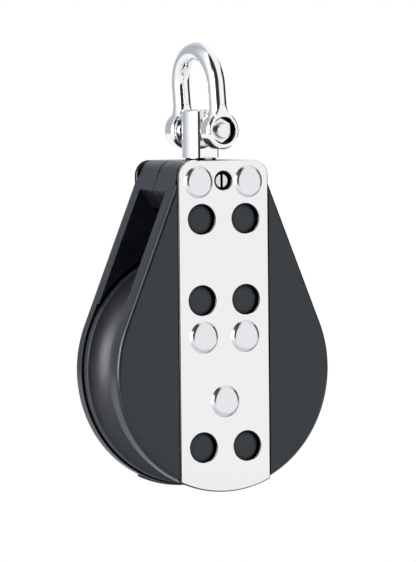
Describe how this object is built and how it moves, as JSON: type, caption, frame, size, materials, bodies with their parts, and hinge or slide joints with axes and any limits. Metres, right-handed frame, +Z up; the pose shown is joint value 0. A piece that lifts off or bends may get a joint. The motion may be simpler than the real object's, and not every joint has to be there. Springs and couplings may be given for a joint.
{
  "type": "swivel sailing block",
  "caption": "Rope pulley with a grooved sheave on ball bearings between two dark cheeks with steel straps, hung from a swivel post and bow shackle.",
  "frame": {"origin": "inside of the shackle's crown, where the block hangs", "axes": "+Z up along the swivel's axis, +X to the right across the cheeks, the sheave turns about Y and the front face looks along -Y"},
  "size_m": [0.0764, 0.0326, 0.1436],
  "materials": {
    "cheek_plastic": "moulded nylon, fine matt grain",
    "strap_steel": "stainless sheet, satin polish",
    "rivet_steel": "stainless, smooth",
    "screw_steel": "stainless, machined",
    "post_steel": "stainless, turned and polished",
    "shackle_steel": "forged stainless, mirror polish",
    "pin_steel": "stainless, polished",
    "washer_plastic": "acetal",
    "sheave_aluminium": "hard black anodised aluminium",
    "cap_plastic": "moulded nylon",
    "hub_plastic": "moulded nylon",
    "ball_plastic": "acetal"
  },
  "bodies": {
    "bow": {"shackle_bow": "shackle_steel"},
    "pin": {"shackle_pin": "pin_steel"},
    "post": {"swivel_post": "post_steel"},
    "frame": {"front_cheek": "cheek_plastic", "back_cheek": "cheek_plastic", "front_strap": "strap_steel", "back_strap": "strap_steel", "head_rivets": "rivet_steel", "hub_rivets": "rivet_steel", "upper_washer": "washer_plastic", "lower_washer": "washer_plastic", "front_hub": "hub_plastic", "back_hub": "hub_plastic"},
    "set_screw": {"set_screw": "screw_steel"},
    "sheave": {"sheave": "sheave_aluminium", "front_race_cap": "cap_plastic", "back_race_cap": "cap_plastic"},
    "front_balls": {"front_balls": "ball_plastic"},
    "back_balls": {"back_balls": "ball_plastic"}
  },
  "joints": [
    {"name": "bow_tilt", "type": "hinge", "parent": "bow", "child": "post", "pos_m": [0.00152, 0.00085, -0.02244], "axis": [0.0663, -0.9978, 0], "range_deg": [-100, 108]},
    {"name": "swivel", "type": "hinge", "parent": "post", "child": "frame", "pos_m": [0.00152, 0.00085, -0.03845], "axis": [0, 0, 1], "continuous": true},
    {"name": "sheave_spin", "type": "hinge", "parent": "frame", "child": "sheave", "pos_m": [0.00152, 0.00085, -0.09914], "axis": [0, 1, 0], "continuous": true},
    {"name": "front_ball_run", "type": "hinge", "parent": "frame", "child": "front_balls", "pos_m": [0.00152, -0.00435, -0.09914], "axis": [0, 1, 0], "continuous": true},
    {"name": "back_ball_run", "type": "hinge", "parent": "frame", "child": "back_balls", "pos_m": [0.00152, 0.00605, -0.09914], "axis": [0, 1, 0], "continuous": true},
    {"name": "pin_slide", "type": "slide", "parent": "bow", "child": "pin", "axis": [0.0663, -0.9978, 0], "range_m": [0, 0.0222]},
    {"name": "set_screw_travel", "type": "slide", "parent": "frame", "child": "set_screw", "axis": [0, 1, 0], "range_m": [-0.0012, 0.0012]}
  ],
  "couplings": [
    {"joint": "front_ball_run", "follows": "sheave_spin", "ratio": 0.575},
    {"joint": "back_ball_run", "follows": "sheave_spin", "ratio": 0.575}
  ]
}
